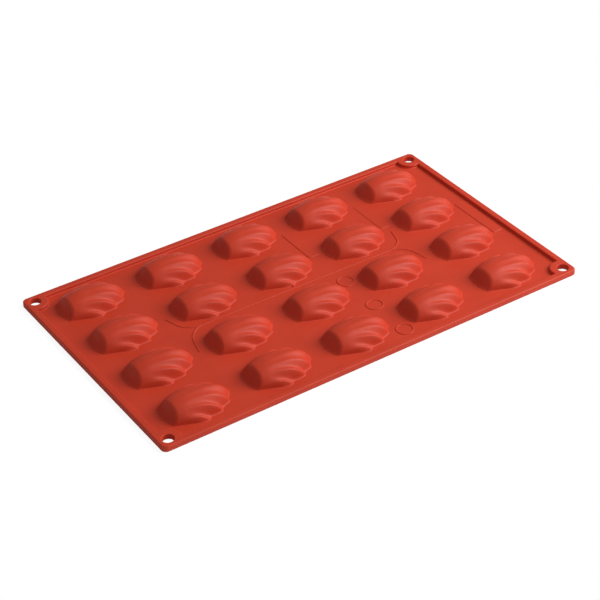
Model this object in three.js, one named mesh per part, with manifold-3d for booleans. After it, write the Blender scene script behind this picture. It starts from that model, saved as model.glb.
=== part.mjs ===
// Silicone mould for twenty small shell cakes, lying with its cups upwards.
// Millimetres, +Z up, the filling face at z = 0, origin at the middle of that face.
// The real mould is one moulding. Here it is divided where it bends and where a cup is pressed in.

import * as THREE from 'three';
import { mergeVertices } from 'three/addons/utils/BufferGeometryUtils.js';
import Module from 'manifold-3d';

// Tray
const trayLength = 300;
const trayWidth = 175;
const cornerRadius = 3.5;
const webThickness = 1.6;
const rimWidth = 4.5;
const rimHeight = 3.9;

// Hanging eyelets in the corners
const eyeletHole = 7.2;
const eyeletWall = 4.8;
const eyeletInset = 6.5;

// Pattern of cups: even cells inside a plain border
const columnCount = 5;
const rowCount = 4;
const endBorder = 8.75;
const sideBorder = 4.68;
const patternShift = -1.2;

// Plain web left beside each cup before the band that bends between two columns
const cupBorder = 2;

// Cup, measured outside and above the web
const cupLength = 44.2;
const cupHeight = 10.6;
const cupWall = 1.3;
const fanSpread = 0.42;
const noseSweep = 27.2;
const sweepPower = 1.54;
const crestPlace = 0.42;
const archRise = 1.9;
const archFullness = 0.68;
const noseRise = 3.2;
const noseFullness = 0.72;

// Raked flat at the narrow end of the cup
const hingeHalfWidth = 9.8;
const hingeSetback = 2.4;
const hingeAngle = 56;
const shellBackHeight = 6.6;

// Ribs of the shell: one in the middle and three on each side, with grooves that deepen outwards
const sideRibs = 3;
const ribsOnHalf = 3.45;
const grooveDepth = 2.9;
const grooveFloor = 0.6;
const scallopDepth = 1.6;
const grooveStart = 0.1;
const grooveLag = 0.22;
const grooveFull = 0.95;

// The part of a cup above this height is pressed in, the rest bends
const pressLine = 5;

// Gap between pieces that are divided here and are one on the real mould
const seam = 0.3;

// Fineness of the facets
const outerStations = [0, 0.3, 0.65, 0.88, 1];
const innerStations = [0, 0.6, 1];
const hingeSteps = 12;
const roundSegments = 3;
const holeSegments = 8;

const siliconeColour = 0xc23e2c;
const siliconeRoughness = 0.55;

const wasm = await Module();
wasm.setup();

// A closed three.js geometry as a solid that can be joined and cut.
function solidOf(geometry) {
  const bare = geometry.clone();
  bare.deleteAttribute('normal');
  bare.deleteAttribute('uv');
  const merged = mergeVertices(bare, 1e-4);
  return new wasm.Manifold(new wasm.Mesh({
    numProp: 3,
    vertProperties: new Float32Array(merged.attributes.position.array),
    triVerts: new Uint32Array(merged.index.array),
  }));
}

// A solid back as a three.js geometry.
function geometryOf(solid) {
  const mesh = solid.getMesh();
  const geometry = new THREE.BufferGeometry();
  geometry.setAttribute('position', new THREE.Float32BufferAttribute(mesh.vertProperties, 3));
  geometry.setIndex(new THREE.Uint32BufferAttribute(mesh.triVerts, 1));
  geometry.computeVertexNormals();
  return geometry;
}

// A block between two corners.
function blockBetween(low, high) {
  const size = high.clone().sub(low);
  const centre = high.clone().add(low).multiplyScalar(0.5);
  return solidOf(new THREE.BoxGeometry(size.x, size.y, size.z).translate(...centre));
}

// A plate of a plan outline between two heights.
function plateOf(shape, low, high, curveSegments) {
  const options = { depth: high - low, bevelEnabled: false, curveSegments };
  return solidOf(new THREE.ExtrudeGeometry(shape, options).translate(0, 0, low));
}

// A rectangle about the origin with round corners.
function roundedRectangle(length, width, radius) {
  const x = length / 2 - radius;
  const y = width / 2 - radius;
  const shape = new THREE.Shape();
  shape.absarc(x, y, radius, 0, Math.PI / 2);
  shape.absarc(-x, y, radius, Math.PI / 2, Math.PI);
  shape.absarc(-x, -y, radius, Math.PI, 1.5 * Math.PI);
  shape.absarc(x, -y, radius, 1.5 * Math.PI, 2 * Math.PI);
  shape.closePath();
  return shape;
}

// A round post through the whole thickness of the tray.
function postAt(x, y, radius) {
  const shape = new THREE.Shape();
  shape.absarc(x, y, radius, 0, 2 * Math.PI);
  return plateOf(shape, -rimHeight, 2 * rimHeight, holeSegments);
}

// How far the smooth step from 0 to 1 has come between two values.
function smoothStep(from, to, value) {
  return THREE.MathUtils.smoothstep(value, from, to);
}

// One skin of a cup: grow moves its outline out, base is its open edge and crest its highest point.
function cupSkin(grow, base, crest) {
  return { grow, base, crest, back: crest - cupHeight + shellBackHeight };
}

const cupCrest = webThickness + cupHeight;
const outerSkin = cupSkin(0, webThickness, cupCrest);
const innerSkin = cupSkin(-cupWall, 0, cupCrest - cupWall);
const cutOutSkin = cupSkin(seam, webThickness, cupCrest);

// How deep in a groove the line across lies: 0 on a rib, 1 in the groove beside it.
function grooveShare(across) {
  const rib = Math.abs(across) * ribsOnHalf;
  if (rib > sideRibs) return 0;
  return (2 * Math.abs(rib - Math.round(rib))) ** 2;
}

// How far out the groove nearest to the line across lies: 1 for the outermost.
function grooveOrder(across) {
  const groove = Math.floor(Math.abs(across) * ribsOnHalf) + 0.5;
  return Math.min(groove / (sideRibs - 0.5), 1);
}

// The curved base edge of the hinge flat at one distance from the middle of the cup.
function hingeBase(skin, y) {
  const side = y / (hingeHalfWidth + skin.grow);
  return new THREE.Vector3(-cupLength / 2 - skin.grow + hingeSetback * side * side, y, skin.base);
}

// A point on the ribbed shell: across fans out over the ribs, along runs from the back to the nose.
function shellPoint(skin, across, along) {
  const startX = -cupLength / 2 - skin.grow;
  const share = grooveShare(across);
  const order = grooveOrder(across);
  const scallop = scallopDepth * share * Math.sqrt(order);
  const endX = cupLength / 2 + skin.grow - noseSweep * Math.abs(across) ** sweepPower - scallop;
  const x = THREE.MathUtils.lerp(startX, endX, along);
  const fan = hingeHalfWidth + skin.grow + fanSpread * (x + cupLength / 2 - hingeSetback);
  const climb = 1 - (1 - Math.min(along / crestPlace, 1)) ** 2;
  const spine = THREE.MathUtils.lerp(skin.back, skin.crest, climb) - skin.base;
  const beyond = Math.max(0, along - crestPlace) / (1 - crestPlace);
  const nose = (1 - beyond ** noseRise) ** noseFullness;
  const arch = (1 - Math.abs(across) ** archRise) ** archFullness;
  const cut = smoothStep(grooveStart + grooveLag * order, grooveFull, along);
  const groove = grooveDepth * share * order * cut;
  const smooth = spine * nose * arch;
  const height = smooth - groove * smooth / Math.max(smooth + grooveFloor * groove, 1e-6);
  return new THREE.Vector3(x, across * fan, skin.base + height);
}

// Where along a line of the shell the raked hinge flat cuts it off, closed in on step by step.
function hingePlace(skin, across) {
  const rake = Math.tan(THREE.MathUtils.degToRad(hingeAngle));
  const length = shellPoint(skin, across, 1).x - shellPoint(skin, across, 0).x;
  let along = 0;
  for (let i = 0; i < hingeSteps; i += 1) {
    const point = shellPoint(skin, across, along);
    const x = hingeBase(skin, point.y).x + (point.z - skin.base) / rake;
    along = (x + cupLength / 2 + skin.grow) / length;
  }
  return along;
}

// A line of the shell from the hinge flat to the nose.
function shellLine(skin, across, stations) {
  const hinge = hingePlace(skin, across);
  return stations.map((part) => shellPoint(skin, across, THREE.MathUtils.lerp(hinge, 1, part)));
}

// Lines over a cup from edge to edge through its grooves, and through its ribs too if both are wanted.
function linesOver(step) {
  const half = [];
  for (let rib = 0.5; rib <= sideRibs; rib += step) half.push(rib / ribsOnHalf);
  half.push(1);
  const middle = step < 1 ? [0] : [];
  return [...half.map((across) => -across).reverse(), ...middle, ...half];
}

const outerLines = linesOver(0.5);
const innerLines = linesOver(1);

// The outline of a cup where it meets the web, counter-clockwise from the left corner of the hinge flat.
function cupOutline(skin) {
  const back = outerLines.map((across) => hingeBase(skin, -shellLine(skin, across, [0])[0].y));
  const nose = outerLines.map((across) => shellPoint(skin, across, 1));
  return [...back, ...nose].map((p) => new THREE.Vector2(p.x, p.y));
}

// A cup skin filled down to the height floor, as a closed solid.
function cupSolid(skin, lines, stations, floor) {
  const edge = lines.length - 1;
  const points = [];
  const faces = [];
  const add = (p) => points.push(p) - 1;
  const grid = lines.map((across) => shellLine(skin, across, stations).map(add));
  const back = grid.map((line, i) => {
    const atEdge = i === 0 || i === edge;
    return atEdge ? line[0] : add(hingeBase(skin, points[line[0]].y));
  });
  const quad = (a, b, c, d) => {
    faces.push([a, b, c], [a, c, d]);
  };
  const last = stations.length - 1;
  for (let i = 0; i < edge; i += 1) {
    for (let j = 0; j < last; j += 1) {
      quad(grid[i][j], grid[i][j + 1], grid[i + 1][j + 1], grid[i + 1][j]);
    }
    quad(back[i], grid[i][0], grid[i + 1][0], back[i + 1]);
  }
  const loop = [
    ...back.slice().reverse(),
    ...grid[0].slice(1),
    ...grid.slice(1).map((line) => line[last]),
    ...grid[edge].slice(1, -1).reverse(),
  ];
  const foot = loop.map((index) => add(points[index].clone().setZ(floor)));
  loop.forEach((top, i) => {
    const next = (i + 1) % loop.length;
    quad(foot[i], foot[next], loop[next], top);
  });
  const plan = foot.map((index) => new THREE.Vector2(points[index].x, points[index].y));
  for (const [a, b, c] of THREE.ShapeUtils.triangulateShape(plan, [])) {
    faces.push([foot[c], foot[b], foot[a]]);
  }
  const kept = faces.filter(([a, b, c]) => a !== b && b !== c && c !== a);
  const geometry = new THREE.BufferGeometry().setFromPoints(points);
  geometry.setIndex(kept.flat());
  return solidOf(geometry);
}

const mould = new THREE.Group();

// One piece of the moulding, with its own material.
function addPiece(name, geometry) {
  const material = new THREE.MeshStandardMaterial({
    color: siliconeColour,
    roughness: siliconeRoughness,
    metalness: 0,
  });
  const mesh = new THREE.Mesh(geometry, material);
  mesh.name = name;
  mould.add(mesh);
  return mesh;
}

// Raised rim with an eyelet in each corner, and the thin web inside it
const eyeletRadius = eyeletHole / 2 + eyeletWall;
const eyeletX = trayLength / 2 - eyeletInset;
const eyeletY = trayWidth / 2 - eyeletInset;
const insideLength = trayLength - 2 * rimWidth;
const insideWidth = trayWidth - 2 * rimWidth;
const tray = roundedRectangle(trayLength, trayWidth, cornerRadius);
const inside = new THREE.Vector3(insideLength / 2, insideWidth / 2, 2 * rimHeight);
let pocket = blockBetween(inside.clone().negate(), inside);
let rim = plateOf(tray, 0, rimHeight, roundSegments);
for (const [sideX, sideY] of [[-1, -1], [1, -1], [1, 1], [-1, 1]]) {
  pocket = pocket.subtract(postAt(sideX * eyeletX, sideY * eyeletY, eyeletRadius));
  rim = rim.subtract(postAt(sideX * eyeletX, sideY * eyeletY, eyeletHole / 2));
}
rim = rim.subtract(pocket);
const web = plateOf(tray, 0, webThickness, roundSegments).intersect(pocket);

// The slice of a solid between two lengths and on one side, or both sides, of the middle.
function sliceOf(solid, fromX, toX, fromY = -trayWidth, toY = trayWidth) {
  const low = new THREE.Vector3(fromX, fromY, -rimHeight);
  const high = new THREE.Vector3(toX, toY, 2 * rimHeight);
  return solid.intersect(blockBetween(low, high));
}

// Middles of a count of even cells
function cellMiddles(count, pitch) {
  return Array.from({ length: count }, (_, i) => pitch * (i - (count - 1) / 2));
}

const columnPitch = (trayLength - 2 * endBorder) / columnCount;
const rowPitch = (trayWidth - 2 * sideBorder) / rowCount;
const bandWidth = columnPitch - cupLength - 2 * cupBorder;
const columnX = cellMiddles(columnCount, columnPitch).map((x) => x + patternShift);
const rowY = cellMiddles(rowCount, rowPitch);
const bendX = columnX.slice(1).map((x) => x - columnPitch / 2);

// Strips from left to right: each holds one column of cups
const cutOut = new THREE.Shape(cupOutline(cutOutSkin));
const cupHole = plateOf(cutOut, -rimHeight, 2 * rimHeight, roundSegments);
columnX.forEach((x, i) => {
  const from = i === 0 ? -trayLength : bendX[i - 1] + bandWidth / 2;
  const to = i === columnCount - 1 ? trayLength : bendX[i] - bandWidth / 2;
  const number = i + 1;
  let panel = sliceOf(web, from, to);
  for (const y of rowY) panel = panel.subtract(cupHole.translate([x, y, 0]));
  addPiece(`web_panel_${number}`, geometryOf(panel));
  if (i === 0) {
    addPiece('left_end_rim', geometryOf(sliceOf(rim, from, to)));
  } else if (i === columnCount - 1) {
    addPiece('right_end_rim', geometryOf(sliceOf(rim, from, to)));
  } else {
    addPiece(`front_rim_${number}`, geometryOf(sliceOf(rim, from, to, -trayWidth, 0)));
    addPiece(`back_rim_${number}`, geometryOf(sliceOf(rim, from, to, 0, trayWidth)));
  }
});

// Bands between the strips, rim and web in one
const section = rim.add(web);
bendX.forEach((x, i) => {
  const band = sliceOf(section, x - bandWidth / 2, x + bandWidth / 2);
  addPiece(`flex_band_${i + 1}_${i + 2}`, geometryOf(band));
});

// Cups: the skirt stands on the web and bends, the crown above it is what a thumb presses in
const cavity = cupSolid(innerSkin, innerLines, innerStations, -rimHeight);
const cup = cupSolid(outerSkin, outerLines, outerStations, 0).subtract(cavity);
const pressHeight = webThickness + pressLine;
const aside = new THREE.Vector3(cupLength, cupLength, 0);
function layerOf(solid, low, high) {
  const from = aside.clone().negate().setZ(low);
  const to = aside.clone().setZ(high);
  return geometryOf(solid.intersect(blockBetween(from, to)));
}
const skirt = layerOf(cup, -rimHeight, pressHeight - seam / 2);
const crown = layerOf(cup, pressHeight + seam / 2, 2 * cupCrest);
columnX.forEach((x, i) => {
  rowY.forEach((y, j) => {
    const place = `${i + 1}_${j + 1}`;
    addPiece(`cup_skirt_${place}`, skirt.clone()).position.set(x, y, 0);
    addPiece(`cup_crown_${place}`, crown.clone()).position.set(x, y, 0);
  });
});

export default mould;
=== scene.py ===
# A brick red silicone baking mould for twenty small shell cakes, lying cups up on a white table.
# The real mould is one moulding. It is drawn as five strips, four bands that bend between them,
# and twenty cups.

import math

import bmesh
import bpy
import numpy as np
from mathutils import Matrix, Vector
from mathutils.geometry import tessellate_polygon


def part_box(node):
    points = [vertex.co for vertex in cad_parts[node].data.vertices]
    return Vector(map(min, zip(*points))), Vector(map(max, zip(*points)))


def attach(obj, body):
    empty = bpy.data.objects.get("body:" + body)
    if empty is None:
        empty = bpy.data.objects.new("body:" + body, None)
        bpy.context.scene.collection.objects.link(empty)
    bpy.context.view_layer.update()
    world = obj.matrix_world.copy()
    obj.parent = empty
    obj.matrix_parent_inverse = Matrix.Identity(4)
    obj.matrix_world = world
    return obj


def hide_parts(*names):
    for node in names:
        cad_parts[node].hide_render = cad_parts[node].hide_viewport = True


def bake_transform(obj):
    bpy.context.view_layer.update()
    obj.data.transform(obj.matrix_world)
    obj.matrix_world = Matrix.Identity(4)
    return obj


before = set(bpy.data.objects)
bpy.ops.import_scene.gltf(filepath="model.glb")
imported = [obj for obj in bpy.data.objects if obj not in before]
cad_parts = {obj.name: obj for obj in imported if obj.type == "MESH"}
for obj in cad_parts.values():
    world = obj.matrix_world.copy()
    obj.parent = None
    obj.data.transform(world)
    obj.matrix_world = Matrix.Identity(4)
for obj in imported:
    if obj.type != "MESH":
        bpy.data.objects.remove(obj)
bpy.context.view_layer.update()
mm = 0.001


# Silicone rubber
# Pigmented rubber, pressed and cured in a steel tool. The tool's fine blasted face leaves the skin matt with
# a soft satin gleam, and the pigment is even, with only a faint cloudiness where the rubber flowed.
silicone_red = "#CC3B1F"
silicone_cloud = "#C6371B"
silicone_ior = 1.41
cloud_size = 25 * mm
grain_size = 0.7 * mm
grain_relief = 0.05 * mm


def linear(code):
    """The linear red, green, blue and alpha of an sRGB hex colour."""
    srgb = np.array([int(code[i:i + 2], 16) for i in (1, 3, 5)]) / 255
    value = np.where(srgb <= 0.04045, srgb / 12.92, ((srgb + 0.055) / 1.055) ** 2.4)
    return (*value.tolist(), 1.0)


def add_node(tree, kind, links=None, **settings):
    """Adds one node, sets its fields or inputs by name, and links other nodes' sockets to its inputs."""
    node = tree.nodes.new(kind)
    for name, value in settings.items():
        if hasattr(node, name):
            setattr(node, name, value)
        else:
            node.inputs[name.replace("_", " ")].default_value = value
    for name, socket in (links or {}).items():
        tree.links.new(socket, node.inputs[name])
    return node


silicone = bpy.data.materials.new("moulded_silicone_rubber")
silicone.use_nodes = True
rubber = silicone.node_tree
rubber_skin = rubber.nodes["Principled BSDF"]
skin_point = {"Vector": add_node(rubber, "ShaderNodeTexCoord").outputs["Object"]}
# Flow clouds are about 25 mm across. The blasted grain, really 0.1 mm, is drawn at 0.7 mm so that it shows.
clouds = add_node(rubber, "ShaderNodeTexNoise", skin_point, Scale=1 / cloud_size, Detail=3.0, Roughness=0.5)
grain = add_node(rubber, "ShaderNodeTexNoise", skin_point, Scale=1 / grain_size, Detail=2.0, Roughness=0.6)
cloud_share = add_node(
    rubber, "ShaderNodeMapRange", {"Value": clouds.outputs["Fac"]}, From_Min=0.35, From_Max=0.65
)
tint = add_node(rubber, "ShaderNodeMix", {"Factor": cloud_share.outputs["Result"]}, data_type="RGBA")
tint.inputs[6].default_value = linear(silicone_red)
tint.inputs[7].default_value = linear(silicone_cloud)
gleam = add_node(
    rubber, "ShaderNodeMapRange", {"Value": grain.outputs["Fac"]},
    From_Min=0.3, From_Max=0.7, To_Min=0.5, To_Max=0.6,
)
blasted = add_node(
    rubber, "ShaderNodeBump", {"Height": grain.outputs["Fac"]}, Strength=0.12, Distance=grain_relief
)
rubber.links.new(tint.outputs[2], rubber_skin.inputs["Base Color"])
rubber.links.new(gleam.outputs["Result"], rubber_skin.inputs["Roughness"])
rubber.links.new(blasted.outputs["Normal"], rubber_skin.inputs["Normal"])
rubber_skin.inputs["IOR"].default_value = silicone_ior


# Tray: web, rim and eyelets
# The flat of the mould: a thin web between the cups and a raised rim all round it, which thickens into a
# round eyelet at each corner. It is one moulding, so the strips and bands are slices of one closed surface.
low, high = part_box("left_end_rim")[0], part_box("right_end_rim")[1]
tray_length = high.x - low.x
tray_width = high.y - low.y
rim_height = high.z
web_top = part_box("web_panel_3")[1].z
rim_width = high.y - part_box("web_panel_3")[1].y
corner_radius = 3.5 * mm
eyelet_hole = 3.6 * mm
eyelet_boss = 8.4 * mm
eyelet_inset = 6.5 * mm
rim_round = 0.9 * mm
rim_fillet = 0.8 * mm
foot_round = 0.4 * mm
hole_round = 0.6 * mm
support = 0.12 * mm
merge_distance = 1e-6
crease_angle = math.radians(38)
cell_half = Vector((23.4 * mm, 17.1 * mm))
cell_cut = 8 * mm
cups = {(c, r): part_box(f"cup_skirt_{c}_{r}") for c in range(1, 6) for r in range(1, 5)}
cup_middle = {cell: (box[0] + box[1]) / 2 for cell, box in cups.items()}


def arc(centre, radius, start, end, steps):
    """Points on a circle from one angle to the other, both ends included: centre + radius (cos, sin)."""
    angle = np.linspace(start, end, steps + 1)
    return np.stack([centre[0] + radius * np.cos(angle), centre[1] + radius * np.sin(angle)], axis=1)


def tray_edge(inset):
    """The tray's outline drawn in by inset: a rectangle whose corners are arcs of corner_radius - inset."""
    x = tray_length / 2 - corner_radius
    y = tray_width / 2 - corner_radius
    corners = [(x, y), (-x, y), (-x, -y), (x, -y)]
    quarter = math.pi / 2
    return np.concatenate([
        arc(corner, corner_radius - inset, k * quarter, (k + 1) * quarter, 12)
        for k, corner in enumerate(corners)
    ])


def rim_inside(inset):
    """The rim's inner edge moved into the rim by inset: straight sides, and an arc round each eyelet.

    Each arc has the radius eyelet_boss - inset and ends where it meets the two straight sides.
    """
    eyelet = np.array([tray_length / 2 - eyelet_inset, tray_width / 2 - eyelet_inset])
    reach = eyelet_inset - rim_width + inset
    radius = eyelet_boss - inset
    first = math.pi - math.asin(reach / radius)
    last = 1.5 * math.pi + math.asin(reach / radius)
    points = arc(eyelet, radius, last, first, 28)
    turned = [points * (1, 1), points[::-1] * (-1, 1), points * (-1, -1), points[::-1] * (1, -1)]
    return np.concatenate(turned)


def eyelet_edge(inset, side_x, side_y):
    """The edge of one eyelet's hole, a circle of radius eyelet_hole + inset."""
    centre = (side_x * (tray_length / 2 - eyelet_inset), side_y * (tray_width / 2 - eyelet_inset))
    return arc(centre, eyelet_hole + inset, 0, 2 * math.pi, 48)[:-1]


def rounding(radius, top, down, steps=5):
    """A quarter round from a flat at height top to an upright wall: pairs of inset and height."""
    angle = np.linspace(0, math.pi / 2, steps + 1)
    return np.stack([radius * (1 - np.sin(angle)), top + down * radius * (1 - np.cos(angle))], axis=1)


def carried(edge, profile):
    """Points of a profile carried round an edge: one closed ring for each pair of inset and height."""
    rings = [np.column_stack([edge(inset), np.full(len(edge(0.0)), height)]) for inset, height in profile]
    return np.stack(rings)


def ring_faces(rings, start, turned=False):
    """Quads between the neighbouring rings of a grid whose first point has the index start."""
    levels, count = rings.shape[:2]
    index = start + np.arange(levels * count).reshape(levels, count)
    after = np.roll(index, -1, axis=1)
    quads = np.stack([index[:-1], after[:-1], after[1:], index[1:]], axis=-1).reshape(-1, 4)
    return quads[:, ::-1] if turned else quads


def flat_faces(loops, height, up):
    """A flat face with holes, cut into triangles: the first loop is its edge and the others are its holes."""
    points = np.concatenate([np.column_stack([loop, np.full(len(loop), height)]) for loop in loops])
    vectors = [[Vector((*point, 0.0)) for point in loop] for loop in loops]
    triangles = np.array(tessellate_polygon(vectors))
    a, b, c = (points[triangles[:, k], :2] for k in range(3))
    area = (b[:, 0] - a[:, 0]) * (c[:, 1] - a[:, 1]) - (b[:, 1] - a[:, 1]) * (c[:, 0] - a[:, 0])
    wrong = (area < 0) == up
    triangles[wrong] = triangles[wrong][:, ::-1]
    return points, triangles[np.abs(area) > 1e-14]


def mesh_of(name, blocks):
    """One mesh from blocks of points and faces, with the doubles between the blocks merged."""
    mesh = bpy.data.meshes.new(name)
    offsets = np.cumsum([0] + [len(points) for points, _ in blocks])
    points = np.concatenate([points for points, _ in blocks])
    faces = [face for (_, block), start in zip(blocks, offsets) for face in (block + start).tolist()]
    mesh.from_pydata(points.tolist(), [], faces)
    work = bmesh.new()
    work.from_mesh(mesh)
    bmesh.ops.remove_doubles(work, verts=work.verts, dist=merge_distance)
    bmesh.ops.recalc_face_normals(work, faces=work.faces)
    work.to_mesh(mesh)
    work.free()
    return mesh


def piece_of(mesh, name):
    """An object for a finished mesh, at the origin, with the silicone on it."""
    piece = bpy.data.objects.new(name, mesh)
    bpy.context.scene.collection.objects.link(piece)
    mesh.materials.append(silicone)
    mesh.shade_smooth()
    mesh.set_sharp_from_angle(angle=crease_angle)
    return piece


def cell_edge(middle):
    """The patch of web that belongs to one cup, counter-clockwise: a rectangle with its corners cut off."""
    x, y = cell_half
    right = [(x - cell_cut, -y), (x, cell_cut - y), (x, y - cell_cut), (x - cell_cut, y)]
    left = [(cell_cut - x, y), (-x, y - cell_cut), (-x, cell_cut - y), (cell_cut - x, -y)]
    return np.array(right + left) + (middle.x, middle.y)


rim_top_profile = np.concatenate([[(rim_round + support, rim_height)], rounding(rim_round, rim_height, -1)])
foot_profile = np.concatenate([rounding(foot_round, 0.0, 1)[::-1], [(foot_round + support, 0.0)]])
hole_profile = np.concatenate([
    [(hole_round + support, rim_height)],
    rounding(hole_round, rim_height, -1),
    rounding(hole_round, 0.0, 1)[::-1],
    [(hole_round + support, 0.0)],
])
outer_profile = np.concatenate([rim_top_profile, foot_profile])
fillet_profile = rounding(rim_fillet, web_top, 1)[::-1] * (-1, 1)
inner_profile = np.concatenate([rim_top_profile, fillet_profile])
eyelet_sides = [(1, 1), (-1, 1), (-1, -1), (1, -1)]
outer_rings = carried(tray_edge, outer_profile)
inner_rings = carried(rim_inside, inner_profile)
hole_rings = [
    carried(lambda inset, x=x, y=y: eyelet_edge(inset, x, y), hole_profile) for x, y in eyelet_sides
]
cells = [cell_edge(middle) for middle in cup_middle.values()]
cell_walls = [
    np.stack([np.column_stack([cell, np.full(len(cell), height)]) for height in (web_top, 0.0)])
    for cell in cells
]
land = [outer_rings[0, :, :2], inner_rings[0, :, :2]] + [rings[0, :, :2] for rings in hole_rings]
web = [inner_rings[-1, :, :2]] + cells
foot = [outer_rings[-1, :, :2]] + [rings[-1, :, :2] for rings in hole_rings] + cells
tray_blocks = [
    (rings.reshape(-1, 3), ring_faces(rings, 0))
    for rings in [outer_rings, inner_rings, *hole_rings, *cell_walls]
]
tray_blocks.append(flat_faces(land, rim_height, True))
tray_blocks.append(flat_faces(web, web_top, True))
tray_blocks.append(flat_faces(foot, 0.0, False))
tray_mesh = mesh_of("tray", tray_blocks)


def slice_of(mesh, name, from_x, to_x, cuts=0):
    """The slice of a closed mesh between two upright planes, capped, with cross lines for bending."""
    work = bmesh.new()
    work.from_mesh(mesh)
    for x, outward in ((from_x, -1), (to_x, 1)):
        every = work.verts[:] + work.edges[:] + work.faces[:]
        cut = bmesh.ops.bisect_plane(
            work, geom=every, dist=1e-7, plane_co=(x, 0, 0), plane_no=(outward, 0, 0), clear_outer=True
        )
        rim_edges = [part for part in cut["geom_cut"] if isinstance(part, bmesh.types.BMEdge)]
        bmesh.ops.holes_fill(work, edges=rim_edges, sides=0)
    for x in np.linspace(from_x, to_x, cuts + 2)[1:-1]:
        every = work.verts[:] + work.edges[:] + work.faces[:]
        bmesh.ops.bisect_plane(work, geom=every, dist=1e-7, plane_co=(x, 0, 0), plane_no=(1, 0, 0))
    bmesh.ops.triangulate(work, faces=[face for face in work.faces if len(face.verts) > 4])
    bmesh.ops.recalc_face_normals(work, faces=work.faces)
    piece_mesh = bpy.data.meshes.new(name)
    work.to_mesh(piece_mesh)
    work.free()
    return piece_mesh


for column in range(1, 6):
    panel_low, panel_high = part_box(f"web_panel_{column}")
    from_x = panel_low.x if column > 1 else low.x - mm
    to_x = panel_high.x if column < 5 else high.x + mm
    name = f"strip_{column}_skin"
    strip = piece_of(slice_of(tray_mesh, name, from_x, to_x), name)
    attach(strip, f"strip_{column}")
    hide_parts(f"web_panel_{column}")
    ends = {1: ["left_end_rim"], 5: ["right_end_rim"]}
    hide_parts(*ends.get(column, [f"front_rim_{column}", f"back_rim_{column}"]))


# Bands that bend
# The plain stretch of web and rim between two columns of cups, where the mould gives when it is rolled up to
# loosen the cakes. It is the same skin as the strips, and turns smoothly from one strip to the next.
band_cuts = 15
for column in range(1, 5):
    name = f"flex_band_{column}_{column + 1}"
    band_low, band_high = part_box(name)
    band_mesh = slice_of(tray_mesh, f"{name}_skin", band_low.x, band_high.x, cuts=band_cuts)
    band = piece_of(band_mesh, f"{name}_skin")
    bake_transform(band)
    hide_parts(name)


# Cups
# Twenty hollow shells with a raked flat at the narrow end and seven ribs that fan out to the rounded nose.
# Each rises from its own cell of web as one thin skin, outside and inside.
cup_length = 44.2
cup_width = 32.0
cup_wall = 1.3
cup_height = 10.6
fan_spread = 0.42
nose_sweep, sweep_power = 27.2, 1.54
crest_place = 0.42
arch_rise, arch_fullness = 1.9, 0.68
nose_rise, nose_fullness = 3.2, 0.72
hinge_half = 9.8
hinge_setback = 2.4
hinge_rake = math.tan(math.radians(56))
hinge_round = 1.3
back_height = 6.6
ribs_on_half = 3.45
rib_flatness = 1.7
groove_depth = 2.9
groove_sharpness = 2.2
groove_softening = 0.6
fan_limit = 1.16
groove_start, groove_lag, groove_full = 0.1, 0.22, 0.95
scallop_depth = 1.6
foot_fillet = 1.8
inner_fillet = 0.6 * foot_fillet
wall_steepness = 3.0
ray_middle = 1.0
rays = 296
climbs = 46
aprons = 6


def smooth_share(start, end, value):
    """The smooth step t t (3 - 2 t), with t running from 0 at start to 1 at end."""
    t = np.clip((value - start) / (end - start), 0, 1)
    return t * t * (3 - 2 * t)


def signed_power(value, power):
    """|value| to a power, with the sign of value."""
    return np.sign(value) * np.abs(value) ** power


def shell_height(x, y):
    """Height of the ribbed shell over the web, in mm, negative outside its outline.

    across is y over the width of the fan at x, drawn towards the middle of its rib so that the ribs stand
    like steps, more so towards the nose. along is the way from the back to the nose on that line. The height
    is the spine's climb to the crest, times a rounded fall to the nose, times a rounded arch across. Grooves
    between the ribs are cut into that, deeper towards the sides and the nose, and the raked flat cuts it off
    at the back with a rounded edge.
    """
    fan_half = hinge_half + fan_spread * (x + cup_length / 2 - hinge_setback)
    across = np.clip(y / fan_half, -fan_limit, fan_limit)
    rib = np.abs(across) * ribs_on_half
    order = np.clip(np.floor(rib) + 0.5, 0.5, 2.5) / 2.5
    way = (x + cup_length / 2) / (cup_length - nose_sweep * np.abs(across) ** sweep_power)
    shaped = smooth_share(groove_start + groove_lag * order, groove_full, way)
    middle = np.minimum(np.round(rib), 3)
    half_rib = np.where(rib > 3, ribs_on_half - 3, 0.5)
    off_middle = (rib - middle) / half_rib
    stepped = middle + half_rib * signed_power(off_middle, 1 + (rib_flatness - 1) * shaped)
    across = stepped / ribs_on_half
    share = np.where(rib > 3, 0.0, np.sin(np.pi / 2 * np.abs(off_middle)) ** groove_sharpness)
    reach = cup_length - nose_sweep * across ** sweep_power - scallop_depth * share * order ** 0.5
    along = (x + cup_length / 2) / reach
    climb = 1 - (1 - np.clip(along / crest_place, -0.5, 1)) ** 2
    spine = back_height + (cup_height - back_height) * climb
    beyond = np.maximum(0, (along - crest_place) / (1 - crest_place))
    nose = signed_power(1 - beyond ** nose_rise, nose_fullness)
    arch = signed_power(1 - np.abs(across) ** arch_rise, arch_fullness)
    height = spine * np.where(np.minimum(nose, arch) < 0, np.minimum(nose, arch), nose * arch)
    groove = groove_depth * order * share * shaped
    standing = np.maximum(height, 0)
    height = height - groove * standing / (standing + groove_softening * groove + 1e-6)
    side = y / hinge_half
    flat = (x + cup_length / 2 - hinge_setback * side ** 2) * hinge_rake
    near = np.clip(0.5 + 0.5 * (height - flat) / hinge_round, 0, 1)
    return height + (flat - height) * near - hinge_round * near * (1 - near)


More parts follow.
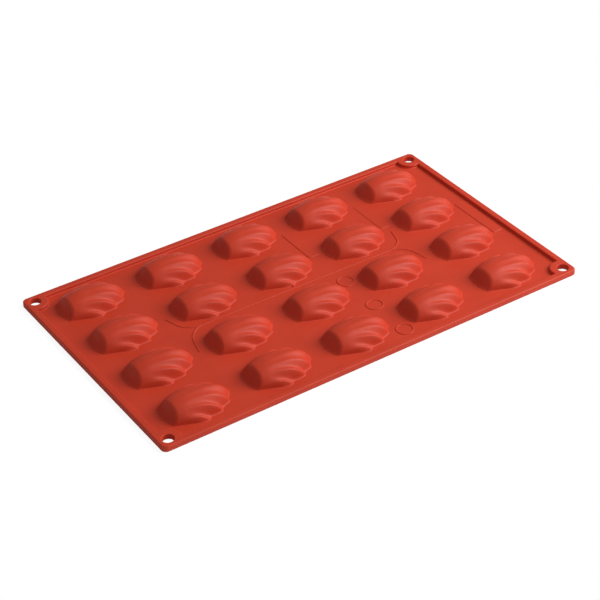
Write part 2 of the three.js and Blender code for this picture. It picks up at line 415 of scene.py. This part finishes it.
def cell_boundary(count):
    """Evenly spaced points round the cell's edge, in mm about the cup's middle, corners included."""
    edge = cell_edge(Vector((0, 0))) / mm
    after = np.roll(edge, -1, axis=0)
    lengths = np.linalg.norm(after - edge, axis=1)
    steps = np.round(count * lengths / lengths.sum()).astype(int)
    runs = [a + (b - a) * (np.arange(n) / n)[:, None] for a, b, n in zip(edge, after, steps)]
    return np.concatenate(runs)


boundary = cell_boundary(rays)
hub = np.array([ray_middle, 0.0])
inside = np.zeros(len(boundary))
outside = np.ones(len(boundary))
for _ in range(40):
    halfway = (inside + outside) / 2
    probe = hub + (boundary - hub) * halfway[:, None]
    standing = shell_height(probe[:, 0], probe[:, 1]) > 0
    inside = np.where(standing, halfway, inside)
    outside = np.where(standing, outside, halfway)
outline = hub + (boundary - hub) * inside[:, None]


def cup_skin(scale_x, scale_y, rise, base, fillet):
    """Rings of one skin of a cup, from the hub out to the cell's edge.

    Inside the outline a point goes a share of the way from hub to outline, closer together towards the foot,
    and has the shell's height. Outside it runs on to the cell's edge and sinks into the flat in a fillet. The
    inner skin is the outer one drawn in by the wall.
    """
    share = 1 - (1 - np.linspace(0, 1, climbs + 1)[1:]) ** 1.7
    plan = hub + (outline - hub) * share[:, None, None]
    height = np.maximum(shell_height(plan[..., 0], plan[..., 1]), 0)
    scaled = plan * (scale_x, scale_y)
    foot_line = scaled[-1]
    span = np.linalg.norm(boundary - foot_line, axis=1)
    run = np.linspace(0, 1, aprons + 1)[1:-1, None] ** 1.5 * np.minimum(span, 2.0)
    apron = foot_line + (boundary - foot_line) * (run / span)[..., None]
    points = np.concatenate([scaled, apron, boundary[None]])
    signed = np.concatenate([height * rise, -wall_steepness * run, np.full((1, len(boundary)), -99.0)])
    near = np.clip(signed + fillet, 0, 2 * fillet)
    blended = np.where(signed > fillet, signed, near ** 2 / (4 * fillet))
    return np.concatenate([points, (base + blended)[..., None]], axis=2)


def cup_mesh_at_origin():
    """The closed skin of one cup and its cell, in metres about the cup's middle."""
    web_mm = web_top / mm
    scale_x = 1 - 2 * cup_wall / cup_length
    scale_y = 1 - 2 * cup_wall / cup_width
    outer = cup_skin(1, 1, 1, web_mm, foot_fillet)
    inner_rise = (web_mm + cup_height - cup_wall) / cup_height
    inner = cup_skin(scale_x, scale_y, inner_rise, 0.0, inner_fillet)
    blocks = []
    for skin in (outer, inner):
        count = skin.shape[1]
        crown = np.array([*(skin[0, :, :2].mean(axis=0)), skin[0, :, 2].mean()])
        points = np.concatenate([skin.reshape(-1, 3), crown[None]]) * mm
        ring = np.arange(count)
        fan = np.stack([np.full(count, len(points) - 1), ring, np.roll(ring, -1)], axis=1)
        blocks.append((points, ring_faces(skin, 0, turned=True)))
        blocks.append((points, fan))
    edge = np.stack([outer[-1], inner[-1]]) * mm
    blocks.append((edge.reshape(-1, 3), ring_faces(edge, 0)))
    return mesh_of("cup", blocks)


cup_form = cup_mesh_at_origin()
for (column, row), middle in cup_middle.items():
    name = f"cup_{column}_{row}_skin"
    mesh = cup_form.copy()
    mesh.name = name
    mesh.transform(Matrix.Translation((middle.x, middle.y, 0)))
    cup = piece_of(mesh, name)
    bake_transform(cup)
    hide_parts(f"cup_skirt_{column}_{row}", f"cup_crown_{column}_{row}")


# Moulded marks
# Low relief on the web, all of the same rubber: a thin runner rib along the middle that parts in two towards
# each end, the stub of the gate where the rubber came in, and blank plates and rings for marks.
mark_sink = 0.15 * mm
plate_height = 0.35 * mm
plate_bevel = 0.3 * mm
plate_round = 1.5 * mm
rib_half_width = 0.6 * mm
rib_height = 0.4 * mm
ring_radius = 5.2 * mm
gate_radius = 0.9 * mm
gate_height = 0.6 * mm
bend_step = 0.6 * mm
ring_x = 26.6 * mm


def lofted(name, rings, closed):
    """A closed surface over rings of equal count, capped at both ends or joined from last to first."""
    count = rings.shape[1]
    if closed:
        around = np.concatenate([rings, rings[:1]])
        return mesh_of(name, [(around.reshape(-1, 3), ring_faces(around, 0))])
    caps = np.array([np.arange(count), np.arange(count) + (len(rings) - 1) * count])
    flat = rings.reshape(-1, 3)
    return mesh_of(name, [(flat, ring_faces(rings, 0)), (flat, caps)])


def rib_along(name, path, closed=False):
    """A half-round rib along a path: height h sin(a) and side step w cos(a), with a flat foot below."""
    ahead = np.roll(path, -1, axis=0) - np.roll(path, 1, axis=0)
    if not closed:
        ahead[0] = path[1] - path[0]
        ahead[-1] = path[-1] - path[-2]
    side = np.column_stack([-ahead[:, 1], ahead[:, 0]]) / np.linalg.norm(ahead, axis=1)[:, None]
    angle = np.linspace(0, math.pi, 9)
    step = np.concatenate([rib_half_width * np.cos(angle), [-rib_half_width, rib_half_width]])
    height = np.concatenate([web_top + rib_height * np.sin(angle), [web_top - mark_sink] * 2])
    plan = path[:, None] + side[:, None] * step[None, :, None]
    rings = np.concatenate([plan, np.broadcast_to(height[None, :, None], (*plan.shape[:2], 1))], axis=2)
    return lofted(name, rings, closed)


def plate_on_web(name, low_corner, high_corner, radius, height):
    """A low plate with round corners and a bevelled top edge, standing in the web."""
    levels = [(0.0, -mark_sink), (0.0, height - plate_bevel), (plate_bevel, height)]
    x0, y0 = low_corner
    x1, y1 = high_corner
    left, right = x0 + radius, x1 - radius
    front, back = y0 + radius, y1 - radius
    middles = [(right, back), (left, back), (left, front), (right, front)]
    rings = []
    for inset, rise in levels:
        corner_arcs = [
            arc(middle, radius - inset, k * math.pi / 2, (k + 1) * math.pi / 2, 6)
            for k, middle in enumerate(middles)
        ]
        edge = np.concatenate(corner_arcs)
        rings.append(np.column_stack([edge, np.full(len(edge), web_top + rise)]))
    return lofted(name, np.stack(rings), False)


def lay_on_band(mesh, name):
    """Lays a mark over the band after a column, cut with cross lines like the band."""
    from_x = min(vertex.co.x for vertex in mesh.vertices) - mm
    to_x = max(vertex.co.x for vertex in mesh.vertices) + mm
    cuts = max(4, round((to_x - from_x) / bend_step))
    mark = piece_of(slice_of(mesh, name, from_x, to_x, cuts), name)
    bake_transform(mark)


def curve_through(points, steps=14):
    """A smooth path through plan points in mm: each stretch is a cubic with the slopes of its neighbours."""
    knots = np.array([points[0], *points, points[-1]], dtype=float) * mm
    t = np.linspace(0, 1, steps, endpoint=False)[:, None]
    runs = []
    for before, a, b, beyond in zip(knots, knots[1:], knots[2:], knots[3:]):
        slope_a = (b - before) / 2
        slope_b = (beyond - a) / 2
        runs.append(
            a * (1 - 3 * t ** 2 + 2 * t ** 3) + b * (3 * t ** 2 - 2 * t ** 3)
            + slope_a * (t - 2 * t ** 2 + t ** 3) + slope_b * (t ** 3 - t ** 2)
        )
    return np.concatenate([*runs, knots[-1:]])


runner = {
    "runner_left": (1, [(-57.7, 2.2), (-66, 2.2), (-74, 2.0)]),
    "runner_left_upper": (1, [(-73.5, 2.2), (-78, 4.2), (-82.5, 9), (-86, 20)]),
    "runner_left_lower": (1, [(-73.5, 1.8), (-78, -1), (-82.5, -7), (-86, -20)]),
    "runner_middle_left": (2, [(-57.8, 2.2), (-30, 2.0), (-1.2, 1.8)]),
    "runner_middle_right": (3, [(-1.3, 1.8), (27, 1.4), (55.3, 1.0)]),
    "runner_right": (4, [(55.2, 1.0), (64, 0.8), (71.5, 0.5)]),
    "runner_right_upper": (4, [(71, 0.7), (75.5, 2.6), (80, 7.5), (83, 18)]),
    "runner_right_lower": (4, [(71, 0.3), (75.5, -2), (80, -7.5), (83, -20)]),
}
for name, (column, points) in runner.items():
    lay_on_band(rib_along(name, curve_through(points)), name)
for number, y in enumerate((-73.0, -42.0, -11.0), start=1):
    circle = arc((ring_x, y * mm), ring_radius, 0, 2 * math.pi, 64)[:-1]
    name = f"blank_ring_{number}"
    lay_on_band(rib_along(name, circle, closed=True), name)
tall_plate = plate_on_web(
    "blank_plate_1", (22.3 * mm, 23.5 * mm), (31 * mm, 56 * mm), plate_round, plate_height
)
lay_on_band(tall_plate, "blank_plate_1")
narrow_plate = plate_on_web(
    "blank_plate_2", (79 * mm, 24 * mm), (86 * mm, 56 * mm), plate_round, 0.8 * plate_height
)
lay_on_band(narrow_plate, "blank_plate_2")
end_plate_mesh = plate_on_web(
    "blank_plate_3", (135.6 * mm, -22 * mm), (143.6 * mm, 20 * mm), plate_round, plate_height
)
end_plate = piece_of(end_plate_mesh, "blank_plate_3")
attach(end_plate, "strip_5")
gate_mesh = plate_on_web(
    "gate_stub", (-3.9 * mm, 3.1 * mm), (-2.1 * mm, 4.9 * mm), gate_radius, gate_height
)
gate = piece_of(gate_mesh, "gate_stub")
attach(gate, "strip_3")


# Table
# A plain white sheet, wide enough to fill the view. It is drawn milky along the mould's outline, where it
# shows the soft shadow, and clear to the camera elsewhere, so that strips bent below it are still seen.
table_half = 3.0
table_drop = 0.05 * mm
paper_white = "#F2F2F2"
paper_glow = 0.5
milkiness = 0.2
milky_inside = (-2.5 * mm, -1.5 * mm)
milky_outside = (1.5 * mm, 7 * mm)
table_mesh = bpy.data.meshes.new("table")
table_corners = np.array([(-1, -1), (1, -1), (1, 1), (-1, 1)]) * table_half
table_mesh.from_pydata([(x, y, -table_drop) for x, y in table_corners.tolist()], [], [(0, 1, 2, 3)])
table = bpy.data.objects.new("table", table_mesh)
bpy.context.scene.collection.objects.link(table)
table.visible_shadow = False
paper = bpy.data.materials.new("white_paper")
paper.use_nodes = True
sheet_tree = paper.node_tree
sheet = sheet_tree.nodes["Principled BSDF"]
sheet.inputs["Base Color"].default_value = linear(paper_white)
sheet.inputs["Roughness"].default_value = 0.9
sheet.inputs["Specular IOR Level"].default_value = 0.0
sheet.inputs["Emission Color"].default_value = linear("#FFFFFF")
ray = add_node(sheet_tree, "ShaderNodeLightPath").outputs["Is Camera Ray"]
glow = add_node(sheet_tree, "ShaderNodeMapRange", {"Value": ray}, To_Max=paper_glow)
sheet_tree.links.new(glow.outputs["Result"], sheet.inputs["Emission Strength"])
# The way from a point of the sheet to the mould's outline, in metres, negative under the mould.
spot = add_node(sheet_tree, "ShaderNodeTexCoord").outputs["Object"]
folded = add_node(sheet_tree, "ShaderNodeVectorMath", {0: spot}, operation="ABSOLUTE").outputs["Vector"]
beyond_edge = add_node(sheet_tree, "ShaderNodeVectorMath", {0: folded}, operation="SUBTRACT")
beyond_edge.inputs[1].default_value = (tray_length / 2, tray_width / 2, 0)
sides = add_node(sheet_tree, "ShaderNodeSeparateXYZ", {0: beyond_edge.outputs["Vector"]}).outputs
farther = add_node(sheet_tree, "ShaderNodeMath", {0: sides["X"], 1: sides["Y"]}, operation="MAXIMUM")
way_out = farther.outputs["Value"]
rising = add_node(
    sheet_tree, "ShaderNodeMapRange", {"Value": way_out}, From_Min=milky_inside[0], From_Max=milky_inside[1]
)
falling = add_node(
    sheet_tree, "ShaderNodeMapRange", {"Value": way_out},
    interpolation_type="SMOOTHSTEP", From_Min=milky_outside[0], From_Max=milky_outside[1],
    To_Min=milkiness, To_Max=0.0,
)
milky = add_node(
    sheet_tree, "ShaderNodeMath", {0: rising.outputs["Result"], 1: falling.outputs["Result"]},
    operation="MULTIPLY",
)
clear_share = add_node(
    sheet_tree, "ShaderNodeMapRange", {"Value": ray, "To Max": milky.outputs["Value"]}, To_Min=1.0
)
clear = add_node(sheet_tree, "ShaderNodeBsdfTransparent")
veil = add_node(
    sheet_tree, "ShaderNodeMixShader",
    {0: clear_share.outputs["Result"], 1: clear.outputs["BSDF"], 2: sheet.outputs["BSDF"]},
)
sheet_tree.links.new(veil.outputs["Shader"], sheet_tree.nodes["Material Output"].inputs["Surface"])
table_mesh.materials.append(paper)


# Light
# A plain studio: an even white surround, and one wide soft lamp from the side of the cups' noses.
surround_light = 0.28
lamp_size = 0.9
lamp_power = 17
lamp_place = (0.83, -0.42, 0.8)


def aim(obj, position, target):
    """Puts a lamp at position with its -Z axis towards target."""
    obj.location = position
    obj.rotation_euler = (Vector(target) - Vector(position)).to_track_quat("-Z", "Y").to_euler()


world = bpy.data.worlds.new("surround")
bpy.context.scene.world = world
world.use_nodes = True
surround = world.node_tree
background = surround.nodes["Background"]
background.inputs["Color"].default_value = linear("#FFFFFF")
seen = add_node(surround, "ShaderNodeLightPath")
level = add_node(
    surround, "ShaderNodeMapRange", {"Value": seen.outputs["Is Camera Ray"]},
    To_Min=surround_light, To_Max=1.0,
)
surround.links.new(level.outputs["Result"], background.inputs["Strength"])
key_data = bpy.data.lights.new("key", "AREA")
key_data.shape = "RECTANGLE"
key_data.size = lamp_size
key_data.size_y = lamp_size
key_data.energy = lamp_power
key = bpy.data.objects.new("key", key_data)
bpy.context.scene.collection.objects.link(key)
aim(key, lamp_place, (0, 0, 0))


# Camera
# A long lens from the front left, 35 degrees above the table.
azimuth, elevation, roll = (math.radians(angle) for angle in (-32.764, 35.452, -1.791))
distance = 1144.02 * mm
focal_pixels, image_pixels = 1850.6, 600
sensor_width = 36
target = Vector((-7.279, -10.078, 0.8)) * mm
level_back = Vector((math.sin(azimuth), -math.cos(azimuth), 0))
back = level_back * math.cos(elevation) + Vector((0, 0, math.sin(elevation)))
level_right = Vector((math.cos(azimuth), math.sin(azimuth), 0))
level_up = back.cross(level_right)
right = level_right * math.cos(roll) + level_up * math.sin(roll)
up = level_up * math.cos(roll) - level_right * math.sin(roll)
camera_data = bpy.data.cameras.new("camera")
camera_data.sensor_width = sensor_width
camera_data.lens = sensor_width * focal_pixels / image_pixels
camera_data.clip_end = 20
camera = bpy.data.objects.new("camera", camera_data)
bpy.context.scene.collection.objects.link(camera)
turn = Matrix((right, up, back)).transposed().to_4x4()
camera.matrix_world = Matrix.Translation(target + back * distance) @ turn
bpy.context.scene.camera = camera
bpy.context.scene.view_settings.view_transform = "Standard"
